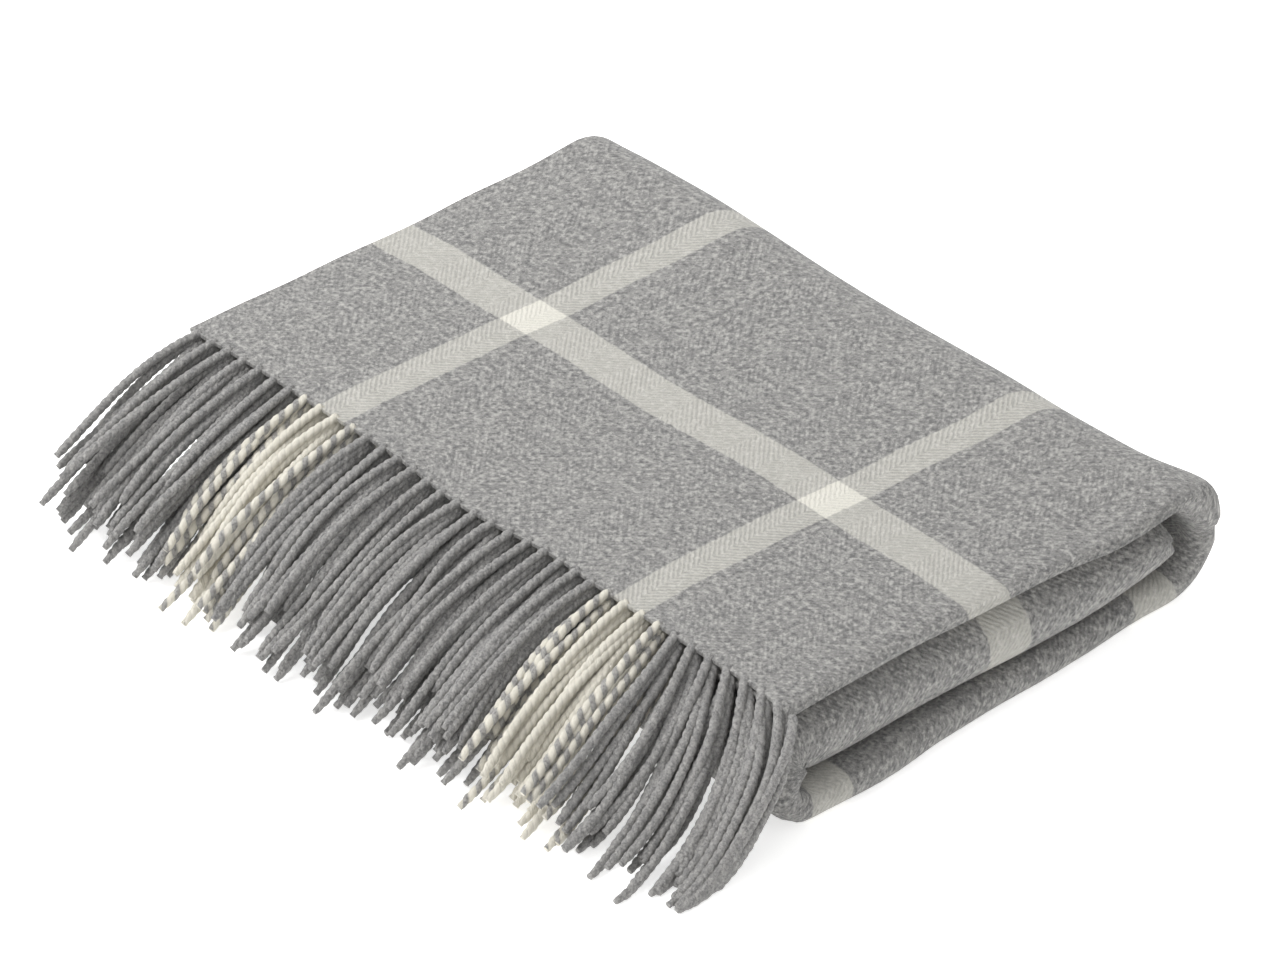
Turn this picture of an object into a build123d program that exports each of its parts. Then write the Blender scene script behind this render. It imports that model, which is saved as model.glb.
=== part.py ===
"""A fringed wool throw, folded into a pad of four leaves, in millimetres.

The woven cloth is one piece. Its two fringed ends lie together in the top leaf, which turns over
the back of the pad and down to the bottom leaf. The bottom leaf turns up at the front and over the
thick middle roll. X runs along the fringed edge, the fringe points to -Y and +Z is up. The origin
is under the centre of the whole, on the surface that the throw lies on.
"""

from build123d import *
import os

# ---- the folded pad ----
FOLDED_WIDTH = 350.0  # along X, from the selvedges to the rounded width folds
FOLDED_DEPTH = 222.0  # along Y, from the front fold's nose to the back fold's nose
LEAF_THICKNESS = 13.5  # eight plies of the cloth
MIDDLE_THICKNESS = 27.0  # sixteen plies: the end of the cloth, turned in on itself
LEAF_CLEARANCE = 0.3  # between the top leaf, which opens, and what it lies on

# ---- the fringe ----
ROWS = 8  # one row of tassels for each ply of the top leaf
TASSELS_PER_ROW = 37
TASSEL_DIAMETER = 3.2
STAGGER_STEPS = 3  # rows take turns at this many places along X
LEVEL_RUN = 16.0  # a tassel leaves the edge level
STEEP_RUN = 36.0  # then hangs, measured along Y
FOOT_RUN = 25.0  # and flattens out beside the floor
STEEP_SHARE = 0.76  # of the drop, taken by the steep run
FLOOR_GAP = 0.1  # under the lowest tassels' tips
END_MARGIN = 6.0  # from the ends of the edge to the outermost tassels

# ---- the windowpane check, which the tassels continue ----
STRIPE_OFFSET = 87.5  # each warp stripe from the middle of the edge
CREAM_REACH = 5.5  # tassels this near a stripe's middle are cream
MARL_REACH = 15.5  # and those this near are cream twisted with grey

# ---- heights and places that follow ----
BOTTOM_TOP = LEAF_THICKNESS
MIDDLE_TOP = BOTTOM_TOP + MIDDLE_THICKNESS
TOP_UNDERSIDE = MIDDLE_TOP + LEAF_CLEARANCE
STACK_HEIGHT = TOP_UNDERSIDE + LEAF_THICKNESS
HINGE_Z = STACK_HEIGHT / 2
BACK_INNER_RADIUS = HINGE_Z - LEAF_THICKNESS
FRONT_RADIUS = MIDDLE_TOP / 2
FRONT_INNER_RADIUS = FRONT_RADIUS - LEAF_THICKNESS
FRINGE_REACH = LEVEL_RUN + STEEP_RUN + FOOT_RUN
EDGE_Y = (FRINGE_REACH - FOLDED_DEPTH) / 2  # the fringed edge and the front fold's nose
HINGE_Y = EDGE_Y + FOLDED_DEPTH - HINGE_Z  # the middle of the back fold
FRONT_Y = EDGE_Y + FRONT_RADIUS  # the middle of the front fold
LEFT_X = -FOLDED_WIDTH / 2
RIGHT_X = FOLDED_WIDTH / 2


def box_between(low, high):
    """A box from its lowest corner to its highest."""
    size = [b - a for a, b in zip(low, high)]
    middle = [(a + b) / 2 for a, b in zip(low, high)]
    return Pos(*middle) * Box(*size)


def along_x(radius, y, z):
    """A rod along the whole width."""
    return Pos(0, y, z) * Rot(0, 90, 0) * Cylinder(radius, FOLDED_WIDTH)


def width_nose(bottom, top, y_low, y_high):
    """The outer shape of nested width folds: flat plies that end in a half-round nose at +X."""
    radius = (top - bottom) / 2
    middle_z = bottom + radius
    flat = box_between((LEFT_X, y_low, bottom), (RIGHT_X - radius, y_high, top))
    length = y_high - y_low
    nose = Pos(RIGHT_X - radius, (y_low + y_high) / 2, middle_z) * Rot(90, 0, 0) * Cylinder(radius, length)
    return flat + nose


def make_bottom_leaf():
    return width_nose(0, BOTTOM_TOP, FRONT_Y, HINGE_Y)


def make_middle_roll():
    """The thick middle roll, with half-round noses at its right side and its back."""
    nose_radius = MIDDLE_THICKNESS / 2
    middle_z = BOTTOM_TOP + nose_radius
    outer = width_nose(BOTTOM_TOP, MIDDLE_TOP, FRONT_Y, HINGE_Y + nose_radius)
    flat = box_between((LEFT_X, FRONT_Y, BOTTOM_TOP), (RIGHT_X, HINGE_Y, MIDDLE_TOP))
    back_nose = along_x(nose_radius, HINGE_Y, middle_z)
    return outer & (flat + back_nose)


def make_top_leaf():
    return width_nose(TOP_UNDERSIDE, STACK_HEIGHT, EDGE_Y, HINGE_Y)


def make_back_fold():
    """The turn at the back that carries the bottom leaf over into the top leaf."""
    ring = along_x(HINGE_Z, HINGE_Y, HINGE_Z) - along_x(BACK_INNER_RADIUS, HINGE_Y, HINGE_Z)
    behind = box_between((LEFT_X, HINGE_Y, 0), (RIGHT_X, HINGE_Y + HINGE_Z, STACK_HEIGHT))
    return ring & behind


def make_front_fold():
    """The turn at the front that carries the bottom leaf up into the middle roll."""
    ring = along_x(FRONT_RADIUS, FRONT_Y, FRONT_RADIUS) - along_x(FRONT_INNER_RADIUS, FRONT_Y, FRONT_RADIUS)
    ahead = box_between((LEFT_X, EDGE_Y, 0), (RIGHT_X, FRONT_Y, MIDDLE_TOP))
    return ring & ahead


def make_end_fold():
    """The far end of the doubled cloth, which lies inside the front fold."""
    rod = along_x(FRONT_INNER_RADIUS, FRONT_Y, FRONT_RADIUS)
    ahead = box_between((LEFT_X, EDGE_Y, 0), (RIGHT_X, FRONT_Y, MIDDLE_TOP))
    return rod & ahead


def make_tassel(drop):
    """One tassel of the lowest row's shape, with its root at the origin."""
    route = [
        (0, 0, 0),
        (0, -LEVEL_RUN, 0),
        (0, -LEVEL_RUN - STEEP_RUN, -drop * STEEP_SHARE),
        (0, -FRINGE_REACH, -drop),
    ]
    bend_radius = LEVEL_RUN
    path = FilletPolyline(*route, radius=bend_radius)
    section = Plane.XZ * Circle(TASSEL_DIAMETER / 2)
    return sweep(section, path=path)


def tassel_colour(x):
    """The check's stripes run on into the fringe."""
    distance = abs(abs(x) - STRIPE_OFFSET)
    if distance < CREAM_REACH:
        return "cream"
    if distance < MARL_REACH:
        return "marl"
    return "grey"


def make_fringe():
    """All tassels, as a dictionary of the solids of each row and colour."""
    radius = TASSEL_DIAMETER / 2
    row_step = (LEAF_THICKNESS - TASSEL_DIAMETER) / (ROWS - 1)
    lowest_root = TOP_UNDERSIDE + radius
    tassel = make_tassel(lowest_root - radius - FLOOR_GAP)
    spacing = (FOLDED_WIDTH - 2 * END_MARGIN) / (TASSELS_PER_ROW - 1 + (STAGGER_STEPS - 1) / STAGGER_STEPS)
    groups = {}
    for row in range(ROWS):
        root_z = STACK_HEIGHT - radius - row * row_step
        shift = (row % STAGGER_STEPS) * spacing / STAGGER_STEPS
        for number in range(TASSELS_PER_ROW):
            x = LEFT_X + END_MARGIN + shift + number * spacing
            name = f"tassels_row_{row + 1}_{tassel_colour(x)}"
            groups.setdefault(name, []).append(Pos(x, EDGE_Y, root_z) * tassel)
    return groups


def write_parts():
    os.makedirs("parts", exist_ok=True)
    cloth = {
        "top_leaf": make_top_leaf(),
        "back_fold": make_back_fold(),
        "bottom_leaf": make_bottom_leaf(),
        "front_fold": make_front_fold(),
        "middle_roll": make_middle_roll(),
        "end_fold": make_end_fold(),
    }
    for name, solid in cloth.items():
        export_step(solid, f"parts/{name}.step")
    for name, tassels in make_fringe().items():
        export_step(Compound(children=tassels), f"parts/{name}.step")
    print("hinge of the top leaf: y", HINGE_Y, "z", HINGE_Z)
    print("fringed edge: y", EDGE_Y, "z", STACK_HEIGHT)
    print("tassel bend radius:", LEVEL_RUN)


write_parts()
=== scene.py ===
import math
import random
import bpy
import numpy as np
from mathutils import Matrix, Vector, noise


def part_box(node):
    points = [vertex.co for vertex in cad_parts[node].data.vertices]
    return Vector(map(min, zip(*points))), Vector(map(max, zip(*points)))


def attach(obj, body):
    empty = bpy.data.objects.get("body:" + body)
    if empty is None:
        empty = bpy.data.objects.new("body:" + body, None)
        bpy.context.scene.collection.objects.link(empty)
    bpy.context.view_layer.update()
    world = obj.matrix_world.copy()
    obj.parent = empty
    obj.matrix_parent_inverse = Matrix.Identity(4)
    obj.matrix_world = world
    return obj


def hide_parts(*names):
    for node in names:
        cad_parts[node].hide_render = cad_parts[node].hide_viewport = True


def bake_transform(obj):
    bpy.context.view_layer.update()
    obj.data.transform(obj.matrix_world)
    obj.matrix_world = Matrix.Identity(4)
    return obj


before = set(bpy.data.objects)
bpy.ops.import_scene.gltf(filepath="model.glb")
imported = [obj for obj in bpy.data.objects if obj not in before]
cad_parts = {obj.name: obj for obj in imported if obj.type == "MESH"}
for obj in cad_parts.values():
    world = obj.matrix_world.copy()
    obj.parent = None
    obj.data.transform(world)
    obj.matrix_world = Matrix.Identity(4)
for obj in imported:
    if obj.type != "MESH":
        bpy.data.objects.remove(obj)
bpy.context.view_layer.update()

# ---------------------------------------------------------------- camera
# A long lens from the front right and above, with the camera held upright, as a catalogue view of
# a folded throw is taken.
camera_azimuth = math.radians(48.2)
camera_elevation = math.radians(34.0)
camera_distance = 3.207
camera_target = Vector((-0.0067, 0.0182, 0.020))
camera_data = bpy.data.cameras.new("camera")
camera_data.lens = 227.9
camera_data.sensor_width = 36
camera_data.clip_end = 50
camera = bpy.data.objects.new("camera", camera_data)
bpy.context.scene.collection.objects.link(camera)
towards_camera = Vector((
    math.sin(camera_azimuth) * math.cos(camera_elevation),
    -math.cos(camera_azimuth) * math.cos(camera_elevation),
    math.sin(camera_elevation),
))
camera.location = camera_target + towards_camera * camera_distance
camera.rotation_mode = "QUATERNION"
camera.rotation_quaternion = (-towards_camera).to_track_quat("-Z", "Y")
bpy.context.scene.camera = camera


# ---------------------------------------------------------------- floor and light
# A wide white table top under a large soft lamp overhead and a weaker one in front, so that only a
# faint shadow lies round the throw. The table glows a little, which keeps it white.
bpy.ops.object.select_all(action="DESELECT")
bpy.ops.mesh.primitive_plane_add(size=30, location=(0, 0, 0))
floor = bpy.context.object
floor.name = "floor"
floor_material = bpy.data.materials.new("white_table")
floor_material.use_nodes = True
floor_shader = floor_material.node_tree.nodes["Principled BSDF"]
floor_shader.inputs["Base Color"].default_value = (0.95, 0.95, 0.94, 1)
floor_shader.inputs["Roughness"].default_value = 0.9
floor_shader.inputs["Emission Color"].default_value = (1, 1, 1, 1)
floor_shader.inputs["Emission Strength"].default_value = 0.55
floor.data.materials.append(floor_material)

world = bpy.data.worlds.new("studio")
world.use_nodes = True
world.node_tree.nodes["Background"].inputs["Color"].default_value = (1, 1, 1, 1)
world.node_tree.nodes["Background"].inputs["Strength"].default_value = 0.68
bpy.context.scene.world = world
bpy.context.scene.view_settings.view_transform = "Standard"


def soft_box(name, place, aim, size, power):
    """A large square lamp that faces the point it is aimed at."""
    lamp = bpy.data.lights.new(name, "AREA")
    lamp.shape = "SQUARE"
    lamp.size = size
    lamp.energy = power
    holder = bpy.data.objects.new(name, lamp)
    holder.location = place
    holder.rotation_mode = "QUATERNION"
    holder.rotation_quaternion = (Vector(aim) - Vector(place)).to_track_quat("-Z", "Y")
    bpy.context.scene.collection.objects.link(holder)


soft_box("overhead", (-0.75, -0.35, 1.45), (0, 0, 0), 1.2, 24)
soft_box("front_fill", (0.4, -2.2, 1.3), (0, 0, 0), 1.5, 7)

# ---------------------------------------------------------------- the woven cloth
# One piece of milled grey wool with a cream windowpane check. Both fringed ends lie together, the
# far end is turned in by about a fifth, the width is halved twice, and the strip is then folded
# up at the front and over at the back. It is mapped from its flat cut size, fold by fold.
cloth_width = 1.400
cloth_length = 1.845
leaf_low, leaf_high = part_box("top_leaf")
left_x = leaf_low.x
right_x = leaf_high.x
edge_y = leaf_low.y
hinge_y = leaf_high.y
stack_top = leaf_high.z
front_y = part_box("front_fold")[1].y - 0.010  # the lower folds stand out under the fringe
folded_width = right_x - left_x
plies_in_all = 32
ply = stack_top / plies_in_all
ply_share = 0.86  # of the ply's room that the cloth itself fills

back_turn = (plies_in_all - 1) / 2 * ply
front_turn = 11.5 * ply
leaf_length = hinge_y - edge_y
bottom_start = leaf_length + math.pi * back_turn
bottom_end = bottom_start + hinge_y - front_y
middle_start = bottom_end + math.pi * front_turn
far_fold = middle_start + hinge_y - front_y + 0.020


def ease(value, start, end):
    """0 before start, 1 after end, and smooth between them."""
    share = np.clip((value - start) / (end - start), 0, 1)
    return share * share * (3 - 2 * share)


def ripple(points, wave, seed):
    """Smooth noise from about -1 to 1 for an array of points, with bumps about as wide as wave."""
    shift = Vector((seed * 7.31, seed * 3.17, seed * 5.53))
    return np.array([noise.noise(Vector(p) / wave + shift) for p in points]) * 1.6


def fold_over(places, across, line, side, turn, reach):
    """Turns what lies beyond a line over the rest, round an axis at the height called turn."""
    beyond = side * (places[:, across] - line)
    angle = np.clip(beyond / reach, 0, math.pi)
    flat = np.maximum(beyond - math.pi * reach, 0)
    radius = turn - places[:, 2]
    moved = line + side * (radius * np.sin(angle) - flat)
    height = turn - radius * np.cos(angle)
    over = beyond > 0
    places[:, across] = np.where(over, moved, places[:, across])
    places[:, 2] = np.where(over, height, places[:, 2])


def fold_cloth(flat):
    """The folded places of points of the flat cloth, given as (across, along) in metres."""
    across = flat[:, 0]
    along = flat[:, 1]
    spread = np.column_stack([across, along, np.zeros(len(flat))])
    places = spread.copy()
    # the fringed ends together
    fold_over(places, 1, cloth_length / 2, 1, ply / 2, ply / 2)
    # the far end turned over
    fold_over(places, 1, far_fold, 1, 1.5 * ply, 1.5 * ply)
    strip = places[:, 1].copy()
    thick = ease(strip, middle_start - 0.045, middle_start - 0.022)
    # the width halved, and halved again
    first_turn = (1.5 + 2 * thick) * ply
    line = cloth_width / 2 - first_turn
    fold_over(places, 0, line, 1, first_turn, first_turn)
    second_turn = (3.5 + 4 * thick) * ply
    # how far the folded width stands back from the right side, leaf by leaf
    back_set_back = 0.0015
    bottom_flare = 0.0105
    roll_set_back = 0.0085
    roll_rounding = 0.011
    edge_wander = 0.0016
    flare = ease(strip, bottom_start, bottom_end)
    set_back = back_set_back - bottom_flare * flare + roll_set_back * ease(strip, bottom_end, middle_start)
    set_back += roll_rounding * ease(strip, far_fold - 0.022, far_fold) ** 2
    set_back *= ease(strip, leaf_length, bottom_start)
    wander = ripple(np.column_stack([strip, strip * 0, strip * 0]), 0.055, 1) * edge_wander
    line = folded_width - second_turn - set_back + wander
    past_fold = places[:, 0] > line
    fold_over(places, 0, line, 1, second_turn, second_turn)
    # the returned plies are drawn in where they would stick out at the left
    landing = 2 * line + math.pi * second_turn - cloth_width / 2
    snug = line - (line - places[:, 0]) * np.minimum(1, line / (line - landing))
    places[:, 0] = np.where(past_fold, snug, places[:, 0])
    # the strip folded up at the front and over at the back
    places[:, 1] = hinge_y - (strip - bottom_start)
    fold_over(places, 1, front_y, -1, front_turn, front_turn)
    fold_over(places, 1, hinge_y, 1, back_turn, back_turn)
    places[:, 0] += left_x
    places[:, 2] += ply / 2
    return settle(places, spread)


def settle(places, spread):
    """Lets the neat folds sag, crown and wander a little, as soft wool does."""
    x = places[:, 0]
    y = places[:, 1]
    height = places[:, 2].copy()
    share = height / stack_top
    from_side = np.minimum(x - left_x, right_x - x)
    from_back = hinge_y + back_turn - y
    # the pad is lower along its sides and its back
    side_sink = 0.022 * (1 - ease(from_side, 0, 0.030))
    back_sink = 0.012 * (1 - ease(from_back, 0, 0.03))
    loft = 1.04
    places[:, 2] = height * (1 - side_sink - back_sink) * loft
    # the top leaf's plies close up towards the right side
    lip = ease(share, 0.71, 0.79) * ease(x, right_x - 0.040, right_x - 0.006)
    lip_gather = 0.52
    places[:, 2] += lip * (stack_top - height) * lip_gather
    # the middle roll rises at the back
    inward = np.minimum(spread[:, 1], cloth_length - spread[:, 1])
    in_roll = ease(inward, middle_start, middle_start + 0.04)
    roll_lift = 0.55
    roll_ceiling = 0.70 * stack_top
    rise = roll_lift * in_roll * ease(y, hinge_y - 0.040, hinge_y + 0.018)
    places[:, 2] += rise * np.maximum(roll_ceiling - height, 0)
    # the back bulges, more so at the left, and its right corner stands a little higher
    bulge = 0.0110
    left_bulge = 0.0050
    corner_lift = 0.004
    widening = 0.026
    behind = ease(y, hinge_y - 0.08, hinge_y + back_turn)
    places[:, 1] += behind * (bulge + left_bulge * ease(-x, -0.10, 0.16))
    back_strip = ease(y, hinge_y - 0.03, hinge_y + 0.02)
    right_strip = ease(x, right_x - 0.10, right_x)
    places[:, 2] += corner_lift * share * back_strip * right_strip
    places[:, 0] *= 1 + widening * behind * ease(share, 0.2, 0.9)
    # a slight crease across the right end of the back fold
    crease_height = 0.53 * stack_top
    crease_width = 0.0034
    crease_depth = 0.0030
    crease = np.exp(-(((height - crease_height) / crease_width) ** 2))
    crease *= ease(y, hinge_y + 0.001, hinge_y + 0.008)
    places[:, 0] -= crease_depth * crease * ease(x, right_x - 0.014, right_x - 0.003)
    # broad and small unevenness, with nothing below the table
    broad_rise = 0.0011
    small_rise = 0.00035
    lowest = ply * 0.45
    places[:, 2] += ripple(places * (1, 1, 0), 0.085, 2) * broad_rise * share
    places[:, 2] += ripple(places * (1, 1, 0.5), 0.030, 3) * small_rise * share
    places[:, 2] = np.maximum(places[:, 2], lowest)
    side_wander = 0.0012
    front_wander = 0.0014
    places[:, 0] += ripple(places * (0, 1, 1.6), 0.050, 4) * side_wander
    places[:, 1] += ripple(places * (1, 0, 1.6), 0.070, 5) * front_wander
    # the two fringed ends wander and sag a little more
    end_wander = 0.0012
    end_sag = 0.0008
    loose_end = 1 - ease(inward, 0, 0.03)
    places[:, 1] += loose_end * ripple(spread * (1, 0.02, 0), 0.045, 6) * end_wander
    places[:, 2] -= loose_end * end_sag * share
    return places


def spaced(stops):
    """Grid lines between stops, each stretch (end, step) with lines no further apart than its step."""
    lines = [0.0]
    for end, step in stops:
        count = max(1, math.ceil((end - lines[-1]) / step))
        lines += list(np.linspace(lines[-1], end, count + 1)[1:])
    return np.array(lines)


def cloth_piece(name, along_lines, across_lines):
    """A smooth closed sheet of the cloth between grid lines, with its flat places as its UV map."""
    columns = len(across_lines)
    rows = len(along_lines)
    flat = np.array([(a, b) for b in along_lines for a in across_lines])
    places = fold_cloth(flat)
    corners = np.arange(rows * columns).reshape(rows, columns)
    faces = np.stack([corners[:-1, :-1], corners[:-1, 1:], corners[1:, 1:], corners[1:, :-1]], axis=-1)
    faces = faces.reshape(-1, 4)
    mesh = bpy.data.meshes.new(name)
    mesh.from_pydata(places.tolist(), [], faces.tolist())
    uv = mesh.uv_layers.new(name="flat_cloth")
    uv.data.foreach_set("uv", flat[faces.ravel()].astype(np.float32).ravel())
    return mesh


# the grid is finer where the cloth turns, which across it is near each quarter of its width
turn_step = 0.0042
flat_step = 0.0088
quarter = cloth_width / 4
across_stops = [(0.327, flat_step), (0.385, turn_step), (0.678, flat_step), (0.722, turn_step),
                (1.015, flat_step), (1.073, turn_step), (1.400, flat_step)]
across_lines = spaced(across_stops)
near_stops = [(leaf_length - 0.01, 0.0075), (bottom_start, turn_step)]
near_lines = spaced(near_stops)
half_length = cloth_length / 2
first_half = spaced([(bottom_start, 1), (bottom_end, flat_step), (middle_start, turn_step),
                     (far_fold, flat_step), (far_fold + 0.012, turn_step), (half_length, flat_step)])[1:]
both_halves = np.concatenate([first_half, (cloth_length - first_half[:-1])[::-1]])


def finish_cloth(cloth):
    """Gives the sheet its thickness and smooth shading."""
    bpy.ops.object.select_all(action="DESELECT")
    cloth.select_set(True)
    bpy.context.view_layer.objects.active = cloth
    thickness = cloth.modifiers.new("thickness", "SOLIDIFY")
    thickness.thickness = ply * ply_share
    thickness.offset = 0
    bpy.ops.object.modifier_apply(modifier="thickness")
    bpy.ops.object.shade_smooth_by_angle(angle=math.radians(50))


def add_object(name, mesh):
    """A mesh as a named object in the scene."""
    piece = bpy.data.objects.new(name, mesh)
    bpy.context.scene.collection.objects.link(piece)
    return piece


pad_cloth = add_object("pad_cloth", cloth_piece("pad_cloth", both_halves, across_lines))
finish_cloth(pad_cloth)

upper_end = cloth_piece("leaf_cloth", near_lines, across_lines)
lower_end = cloth_piece("leaf_cloth_lower", (cloth_length - near_lines)[::-1], across_lines)
leaf_cloth = add_object("leaf_cloth", upper_end)
lower_cloth = add_object("leaf_cloth_lower", lower_end)
bpy.ops.object.select_all(action="DESELECT")
lower_cloth.select_set(True)
leaf_cloth.select_set(True)
bpy.context.view_layer.objects.active = leaf_cloth
bpy.ops.object.join()
finish_cloth(leaf_cloth)


def wire(tree, source, target):
    """A link between two sockets."""
    tree.links.new(source, target)


def add_node(tree, kind, **settings):
    """A node with its settings, and with values or sockets for its inputs as a list called feed."""
    made = tree.nodes.new(kind)
    feed = settings.pop("feed", [])
    for name, value in settings.items():
        setattr(made, name, value)
    for index, value in feed:
        if isinstance(value, bpy.types.NodeSocket):
            wire(tree, value, made.inputs[index])
        else:
            made.inputs[index].default_value = value
    return made


def maths(tree, operation, *values):
    """One sum on values or sockets."""
    made = add_node(tree, "ShaderNodeMath", operation=operation, feed=list(enumerate(values)))
    return made.outputs[0]


def vectors(tree, operation, *feed):
    """One sum on vectors, given as (input number, value) pairs."""
    return add_node(tree, "ShaderNodeVectorMath", operation=operation, feed=feed).outputs[0]


def speckle(tree, place, scale, detail, roughness=0.5):
    """Noise over a place. Its first output is a value and its second a colour."""
    return add_node(tree, "ShaderNodeTexNoise", feed=[(0, place), (2, scale), (3, detail), (4, roughness)])


def mixed(tree, share, first, second):
    """A colour between two."""
    made = add_node(tree, "ShaderNodeMix", data_type="RGBA", feed=[(0, share), (6, first), (7, second)])
    return made.outputs[2]


def band(tree, value, low, high):
    """A mask that rises from 0 at low to 1 at high."""
    made = add_node(tree, "ShaderNodeMapRange", interpolation_type="SMOOTHSTEP",
                    feed=[(0, value), (1, low), (2, high)])
    return made.outputs[0]


dark_fibre = (0.075, 0.075, 0.08, 1)
light_fibre = (0.80, 0.78, 0.74, 1)


def make_melange():
    """Wool spun from light and dark fibres: fine flecks, and soft clouds about a centimetre wide."""
    tree = bpy.data.node_groups.new("melange_wool", "ShaderNodeTree")
    tree.interface.new_socket("Place", in_out="INPUT", socket_type="NodeSocketVector")
    tree.interface.new_socket("Grey", in_out="INPUT", socket_type="NodeSocketColor")
    tree.interface.new_socket("Colour", in_out="OUTPUT", socket_type="NodeSocketColor")
    tree.interface.new_socket("Fibre", in_out="OUTPUT", socket_type="NodeSocketFloat")
    given = add_node(tree, "NodeGroupInput")
    result = add_node(tree, "NodeGroupOutput")
    place = given.outputs["Place"]
    cloud = speckle(tree, place, 110.0, 3.0).outputs[0]
    fleck = speckle(tree, place, 430.0, 6.0, 0.70).outputs[0]
    grain = speckle(tree, place, 1900.0, 2.0).outputs[0]
    grey = given.outputs["Grey"]
    dark = mixed(tree, 0.62, grey, dark_fibre)
    light = mixed(tree, 0.42, grey, light_fibre)
    darker = mixed(tree, 0.18, grey, dark)
    lighter = mixed(tree, 0.20, grey, light)
    tone = mixed(tree, band(tree, cloud, 0.36, 0.64), darker, lighter)
    tone = mixed(tree, band(tree, fleck, 0.505, 0.62), tone, dark)
    tone = mixed(tree, maths(tree, "MULTIPLY", band(tree, fleck, 0.495, 0.37), 0.9), tone, light)
    wire(tree, tone, result.inputs["Colour"])
    soft_nap = maths(tree, "MULTIPLY", fleck, 0.6)
    fine_nap = maths(tree, "MULTIPLY", grain, 0.4)
    wire(tree, maths(tree, "ADD", soft_nap, fine_nap), result.inputs["Fibre"])
    return tree


melange_wool = make_melange()

# ---------------------------------------------------------------- the check and the weave
# Cream stripes both ways on grey, in a herringbone twill whose columns reverse. All measures are in
# metres on the flat cloth.
check_repeat = 0.175
warp_stripe_at = 0.0875
warp_stripe_width = 0.0165
weft_stripe_at = 0.105
weft_stripe_width = 0.0215
column_width = 0.0175
twill_step = 0.0026
stripe_softness = 0.0005
cloth_grey = (0.255, 0.251, 0.243, 1)
cloth_cream = (0.72, 0.70, 0.63, 1)
shaded_cream = (0.61, 0.595, 0.54, 1)


def stripe(tree, place, start, width):
    """1 on the check's stripes along one direction, and 0 off them."""
    shifted = maths(tree, "SUBTRACT", place, start - check_repeat / 2)
    within = maths(tree, "FLOORED_MODULO", shifted, check_repeat)
    nearest = maths(tree, "ABSOLUTE", maths(tree, "SUBTRACT", within, check_repeat / 2))
    return band(tree, nearest, width / 2 + stripe_softness, width / 2 - stripe_softness)


def make_wool_cloth():
    """Milled herringbone twill: warp and weft floats take turns on its face, under a soft nap."""
    material = bpy.data.materials.new("checked_wool")
    material.use_nodes = True
    tree = material.node_tree
    shader = tree.nodes["Principled BSDF"]
    flat = add_node(tree, "ShaderNodeUVMap", uv_map="flat_cloth").outputs[0]
    wobble = speckle(tree, flat, 420.0, 2.0).outputs[1]
    wobble = vectors(tree, "SUBTRACT", (0, wobble), (1, (0.5, 0.5, 0.5)))
    soft = vectors(tree, "SCALE", (0, wobble), (3, 0.0016))
    soft = vectors(tree, "ADD", (0, flat), (1, soft))
    parts = add_node(tree, "ShaderNodeSeparateXYZ", feed=[(0, soft)])
    across = parts.outputs[0]
    along = parts.outputs[1]
    melange = add_node(tree, "ShaderNodeGroup", node_tree=melange_wool)
    wire(tree, flat, melange.inputs["Place"])
    melange.inputs["Grey"].default_value = cloth_grey
    cream_fleck = speckle(tree, flat, 900.0, 3.0).outputs[0]
    cream = mixed(tree, band(tree, cream_fleck, 0.45, 0.8), cloth_cream, shaded_cream)
    warp_is_cream = stripe(tree, across, warp_stripe_at, warp_stripe_width)
    weft_is_cream = stripe(tree, along, weft_stripe_at, weft_stripe_width)
    zigzag = maths(tree, "PINGPONG", across, column_width)
    phase = maths(tree, "MULTIPLY", maths(tree, "ADD", along, zigzag), 2 * math.pi / twill_step)
    twill = maths(tree, "MULTIPLY_ADD", maths(tree, "SINE", phase), 0.5, 0.5)
    float_share = maths(tree, "MULTIPLY_ADD", twill, 0.20, 0.39)
    warp_shows = maths(tree, "MULTIPLY", warp_is_cream, float_share)
    weft_shows = maths(tree, "MULTIPLY", weft_is_cream, maths(tree, "SUBTRACT", 1.0, float_share))
    cream_shows = maths(tree, "POWER", maths(tree, "ADD", warp_shows, weft_shows), 1.22)
    uneven = maths(tree, "MULTIPLY", cream_shows, maths(tree, "SUBTRACT", 1.0, cream_shows))
    leaning = maths(tree, "MULTIPLY_ADD", melange.outputs["Fibre"], 3.4, -1.7)
    uneven = maths(tree, "MULTIPLY", uneven, leaning)
    cream_shows = maths(tree, "ADD", cream_shows, uneven)
    colour = mixed(tree, cream_shows, melange.outputs["Colour"], cream)
    # painted shade: the colour is a little darker in the twill's grooves
    shade = maths(tree, "MULTIPLY_ADD", twill, 0.06, 0.94)
    colour = add_node(tree, "ShaderNodeMix", data_type="RGBA", blend_type="MULTIPLY",
                      feed=[(0, 1.0), (6, colour), (7, shade)]).outputs[2]
    wire(tree, colour, shader.inputs["Base Color"])
    ridges = maths(tree, "MULTIPLY", twill, 0.22)
    nap = maths(tree, "ADD", melange.outputs["Fibre"], ridges)
    bump = add_node(tree, "ShaderNodeBump", feed=[("Strength", 0.95), ("Distance", 0.0012), ("Height", nap)])
    wire(tree, bump.outputs[0], shader.inputs["Normal"])
    wire(tree, maths(tree, "MULTIPLY_ADD", melange.outputs["Fibre"], 0.2, 0.8), shader.inputs["Roughness"])
    shader.inputs["Sheen Weight"].default_value = 0.25
    shader.inputs["Sheen Roughness"].default_value = 0.5
    shader.inputs["Specular IOR Level"].default_value = 0.15
    return material


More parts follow.
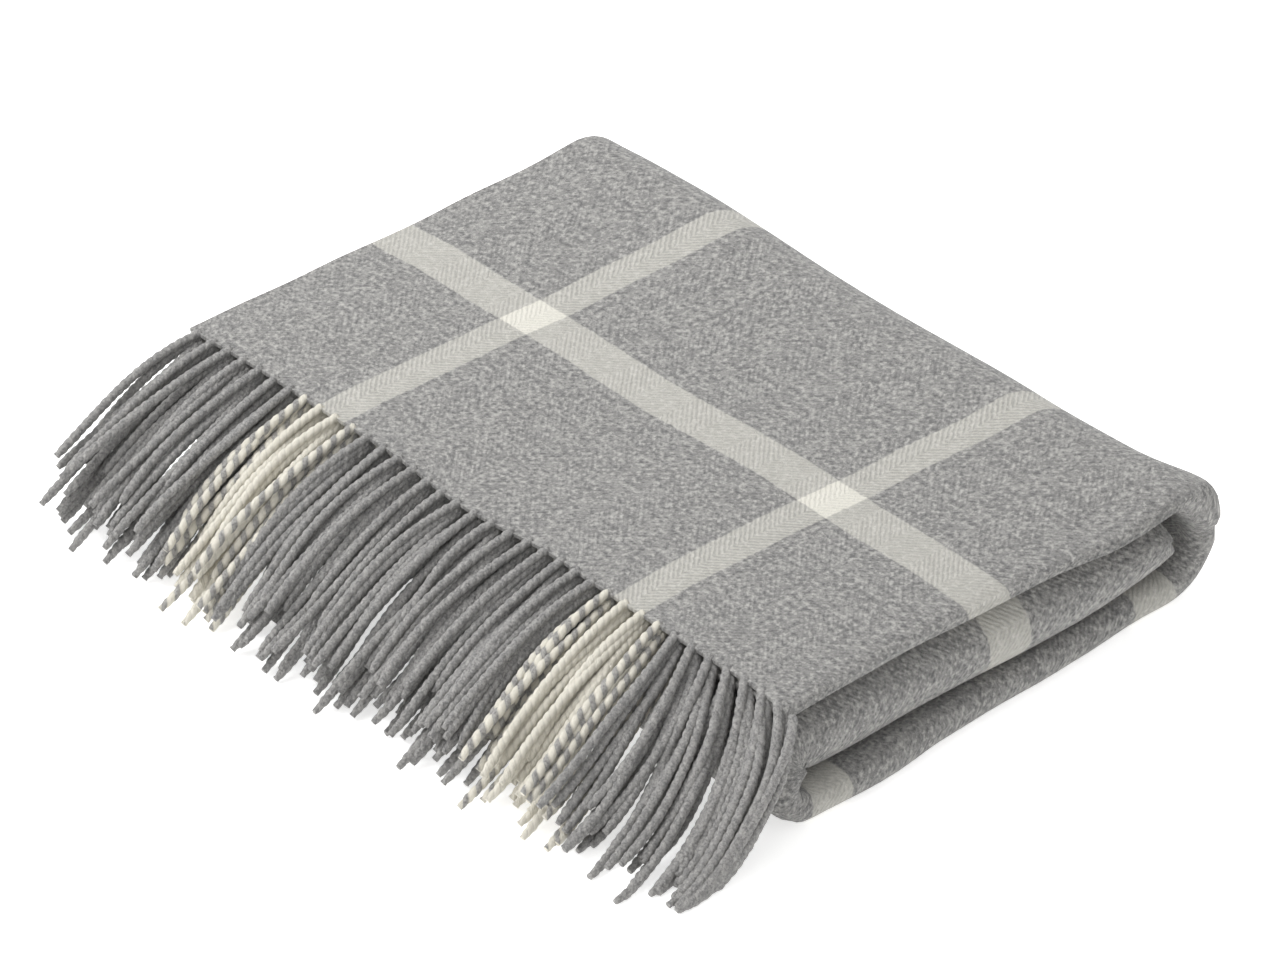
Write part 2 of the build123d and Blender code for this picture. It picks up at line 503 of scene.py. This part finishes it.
checked_wool = make_wool_cloth()
for cloth in (pad_cloth, leaf_cloth):
    cloth.data.materials.clear()
    cloth.data.materials.append(checked_wool)
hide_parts("bottom_leaf", "front_fold", "middle_roll", "end_fold")
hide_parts("top_leaf", "back_fold")
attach(pad_cloth, "pad")
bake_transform(leaf_cloth)

# ---------------------------------------------------------------- the fringe
# The warp ends left at both short ends of the cloth, twisted in two plies and cut blunt, with no
# knots. They leave the folded edge level, hang over the front and lie on the table in a loose pile.
tassel_length = 0.096
tassel_radius = 0.00205
tassel_pitch = 0.00946
twist_length = 0.0074
tassels_per_end = 148
rings = 74
sides = 8
rows_in_all = 8
pile_height = 0.021  # how high the top row's tips rest on the rows below
left_pile = 0.008  # and how much higher at the left end
tip_unevenness = 0.0012
sway_range = 0.16  # in radians, how far tassels turn aside along their length
curl_range = 0.28
clump_range = 0.03
left_lean = 0.05
right_lean = 0.9  # the tassels at the right corner swing out past it
bunching = 0.7  # how far the roots gather at common places along the edge
splay = 0.0165  # the furthest that a tassel swings out past either end of the edge
groove_depth = 0.20  # between the two plies, as a share of the radius
tip_taper = 0.26
shuffle = random.Random(11)
rows_from_top = {("near", 0): 1, ("far", 0): 2, ("far", 3): 3, ("near", 3): 4,
                 ("near", 2): 5, ("far", 2): 6, ("far", 1): 7, ("near", 1): 8}


def tassel_colour(across):
    """The check's stripes run on into the fringe, with marl yarns beside the cream ones."""
    distance = abs((across - warp_stripe_at + check_repeat / 2) % check_repeat - check_repeat / 2)
    if distance < 0.0075:
        return "cream"
    if distance < 0.0175:
        return "marl"
    return "grey"


def tassel_routes(roots, rows):
    """The middle lines of all tassels: out from the edge, down by their own weight, along the table."""
    count = len(roots)
    step = np.linspace(0, 1, rings)
    pick = np.array([[shuffle.random() for _ in range(8)] for _ in range(count)])
    depth = rows / rows_in_all
    length = tassel_length * (0.84 + 0.19 * pick[:, 0])
    length *= 0.88 + 0.13 * depth
    left_end = 1 - ease(roots[:, 0], left_x, left_x + 0.07)
    right_end = ease(roots[:, 0], right_x - 0.11, right_x + 0.012)
    # where the tips come to rest
    pile = pile_height * (1 - depth) * (0.75 + 0.35 * pick[:, 1])
    rest_height = tassel_radius + pile + tip_unevenness * pick[:, 2]
    rest_height += left_end * (1 - depth) * left_pile
    rest_height *= 1 - 0.8 * ease(roots[:, 0], right_x - 0.075, right_x - 0.01)
    drop = roots[:, 2] - rest_height
    # how steep each stretch is, as a share: it grows from the edge and eases off towards the table
    flatten_from = 0.60 - 0.08 * right_end
    flatten_to = 1.02 + 0.1 * pick[:, 4]
    flatten = ease(step[None, :], flatten_from[:, None], flatten_to[:, None])
    sooner = 1 + 5.5 * right_end[:, None] ** 2
    arch = np.clip(step[None, :] * sooner, 0, 1) ** 0.85
    laid_flat = 0.45 * depth
    flat_share = laid_flat + 0.90 * right_end * (1 - laid_flat)
    shape = 0.12 + 0.88 * arch * (1 - flatten * flat_share[:, None])
    # the steepest pitch that brings each tip down to its resting height, found by halving
    low = np.zeros(count)
    high = math.radians(88) + 0.10 * right_end
    for _ in range(24):
        middle = (low + high) / 2
        fall = np.mean(np.sin(middle[:, None] * shape), axis=1) * length
        deeper = fall < drop
        low = np.where(deeper, middle, low)
        high = np.where(deeper, high, middle)
    pitch = low[:, None] * shape
    sway = (pick[:, 5] - 0.5) * sway_range
    curl = (pick[:, 6] - 0.5) * curl_range
    clump = ripple(np.column_stack([roots[:, 0], depth * 0.09, depth * 0]), 0.03, 14) * clump_range
    wave = np.sin(math.pi * 1.6 * step + pick[:, 7][:, None] * 3)
    heading = (sway + clump)[:, None] * step + curl[:, None] * wave
    swing = (right_lean * right_end)[:, None] * (1 - 0.7 * ease(step, 0, 0.6))
    heading += (-left_lean * left_end)[:, None] * step + swing
    size = (length / (rings - 1))[:, None]
    run = np.cos(pitch) * size
    moves = np.stack([np.sin(heading) * run, -np.cos(heading) * run, -np.sin(pitch) * size], axis=-1)
    moves[:, 0] = 0
    line = roots[:, None, :] + np.cumsum(moves, axis=1)
    number = np.round((roots[:, 0] - left_x) / tassel_pitch - 0.5)
    bunch = left_x + (number + 0.5) * tassel_pitch - roots[:, 0]
    line[:, :, 0] += (bunching * bunch)[:, None] * (1 - ease(step, 0, 0.34))
    line[:, :, 2] = np.maximum(line[:, :, 2], tassel_radius * 1.02)
    past_right = np.maximum(line[:, :, 0] - right_x, 0)
    past_left = np.maximum(left_x - line[:, :, 0], 0)
    line[:, :, 0] += splay * np.tanh(past_right / splay) - past_right
    line[:, :, 0] -= splay * np.tanh(past_left / splay) - past_left
    return line


def twisted_yarns(name, lines, turns):
    """Two-ply yarns along many lines as one mesh. UV x goes round the plies and y along the yarn."""
    count = len(lines)
    ahead = np.gradient(lines, axis=1)
    ahead /= np.linalg.norm(ahead, axis=2, keepdims=True)
    level = np.cross(ahead, (0, 0, 1))
    level /= np.linalg.norm(level, axis=2, keepdims=True)
    up = np.cross(level, ahead)
    gaps = np.linalg.norm(np.diff(lines, axis=1), axis=2)
    travelled = np.concatenate([np.zeros((count, 1)), np.cumsum(gaps, axis=1)], axis=1)
    around = np.arange(sides) / sides * 2 * math.pi
    lobe = 1 - groove_depth + groove_depth * np.abs(np.cos(around))
    near_tip = ease(travelled / travelled[:, -1:], 0.93, 1.0)
    width = tassel_radius * (1 - tip_taper * near_tip)
    spin = travelled * 2 * math.pi / twist_length + turns[:, None]
    angle = spin[:, :, None] + around
    reach = width[:, :, None] * lobe
    sideways = level[:, :, None, :] * (np.cos(angle) * reach)[..., None]
    upwards = up[:, :, None, :] * (np.sin(angle) * reach)[..., None]
    ring = sideways + upwards
    points = (lines[:, :, None, :] + ring).reshape(-1, 3)
    index = np.arange(count * rings * sides).reshape(count, rings, sides)
    after = np.roll(index, -1, axis=2)
    wall = np.stack([index[:, :-1], after[:, :-1], after[:, 1:], index[:, 1:]], axis=-1).reshape(-1, 4)
    faces = wall.tolist() + index[:, 0, ::-1].tolist() + index[:, -1].tolist()
    mesh = bpy.data.meshes.new(name)
    mesh.from_pydata(points.tolist(), [], faces)
    uv = mesh.uv_layers.new(name="yarn")
    turn = np.broadcast_to(np.arange(sides) / sides, (count, rings, sides))
    next_turn = turn + 1 / sides
    far = np.broadcast_to((travelled + np.arange(count)[:, None] * 0.31)[:, :, None], (count, rings, sides))
    sheet = np.stack([
        np.stack([turn[:, :-1], far[:, :-1]], -1), np.stack([next_turn[:, :-1], far[:, :-1]], -1),
        np.stack([next_turn[:, 1:], far[:, 1:]], -1), np.stack([turn[:, 1:], far[:, 1:]], -1),
    ], axis=3).reshape(-1, 2)
    caps = np.zeros((count * sides * 2, 2))
    uv.data.foreach_set("uv", np.concatenate([sheet, caps]).astype(np.float32).ravel())
    mesh.shade_smooth()
    return mesh


def make_yarn(name, first, second):
    """Twisted wool yarn: each ply has its own colour, with painted shade in the groove between them."""
    material = bpy.data.materials.new(name)
    material.use_nodes = True
    tree = material.node_tree
    shader = tree.nodes["Principled BSDF"]
    yarn = add_node(tree, "ShaderNodeUVMap", uv_map="yarn").outputs[0]
    parts = add_node(tree, "ShaderNodeSeparateXYZ", feed=[(0, yarn)])
    turned = maths(tree, "COSINE", maths(tree, "MULTIPLY", parts.outputs[0], 2 * math.pi))
    on_first = band(tree, turned, -0.45, -0.10)
    groove = band(tree, maths(tree, "ABSOLUTE", turned), 0.0, 0.55)
    place = add_node(tree, "ShaderNodeTexCoord").outputs["Object"]
    place = vectors(tree, "SCALE", (0, place), (3, 2.3))
    plies = []
    colours = []
    for grey in (first, second):
        melange = add_node(tree, "ShaderNodeGroup", node_tree=melange_wool)
        wire(tree, place, melange.inputs["Place"])
        melange.inputs["Grey"].default_value = (*grey, 1)
        plies.append(melange)
        evenness = 0.85 if grey[0] > 0.5 else 0.25
        colours.append(mixed(tree, evenness, melange.outputs["Colour"], (*grey, 1)))
    colour = mixed(tree, on_first, colours[1], colours[0])
    # painted shade: the colour is darker in the groove between the two plies
    shade = maths(tree, "MULTIPLY_ADD", groove, 0.14, 0.86)
    colour = add_node(tree, "ShaderNodeMix", data_type="RGBA", blend_type="MULTIPLY",
                      feed=[(0, 1.0), (6, colour), (7, shade)]).outputs[2]
    wire(tree, colour, shader.inputs["Base Color"])
    strand = add_node(tree, "ShaderNodeMapping", feed=[(0, yarn), (3, (9.0, 160.0, 1.0))]).outputs[0]
    fibre = speckle(tree, strand, 1.6, 3.0).outputs[0]
    relief = maths(tree, "ADD", fibre, plies[0].outputs["Fibre"])
    bump = add_node(tree, "ShaderNodeBump",
                    feed=[("Strength", 0.9), ("Distance", 0.0009), ("Height", relief)])
    wire(tree, bump.outputs[0], shader.inputs["Normal"])
    wire(tree, maths(tree, "MULTIPLY_ADD", fibre, 0.2, 0.78), shader.inputs["Roughness"])
    shader.inputs["Sheen Weight"].default_value = 0.2
    shader.inputs["Sheen Roughness"].default_value = 0.5
    shader.inputs["Specular IOR Level"].default_value = 0.15
    return material


grey_wool = (0.335, 0.328, 0.32)
cream_wool = (0.80, 0.765, 0.67)
yarns = {
    "grey": make_yarn("grey_yarn", grey_wool, (0.285, 0.28, 0.275)),
    "marl": make_yarn("marl_yarn", cream_wool, (0.36, 0.35, 0.335)),
    "cream": make_yarn("cream_yarn", cream_wool, (0.77, 0.735, 0.64)),
}

root_depth = 0.0015  # how far inside the cut edge the tassels start
flat_roots = []
for end in ("near", "far"):
    for number in range(tassels_per_end):
        across = (number + 0.5) * cloth_width / tassels_per_end
        along = root_depth if end == "near" else cloth_length - root_depth
        row = rows_from_top[(end, min(3, int(across / quarter)))]
        flat_roots.append((across, along, row, tassel_colour(across)))
roots = fold_cloth(np.array([(across, along) for across, along, _, _ in flat_roots]))
routes = tassel_routes(roots, np.array([row for _, _, row, _ in flat_roots]))
turns = np.array([shuffle.random() * 2 * math.pi for _ in flat_roots])

for row in range(1, rows_in_all + 1):
    for colour in ("grey", "marl", "cream"):
        chosen = [i for i, root in enumerate(flat_roots) if root[2] == row and root[3] == colour]
        name = f"tassels_row_{row}_{colour}"
        tassels = add_object("yarn_" + name, twisted_yarns("yarn_" + name, routes[chosen], turns[chosen]))
        tassels.data.materials.append(yarns[colour])
        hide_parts(name)
        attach(tassels, "fringe")
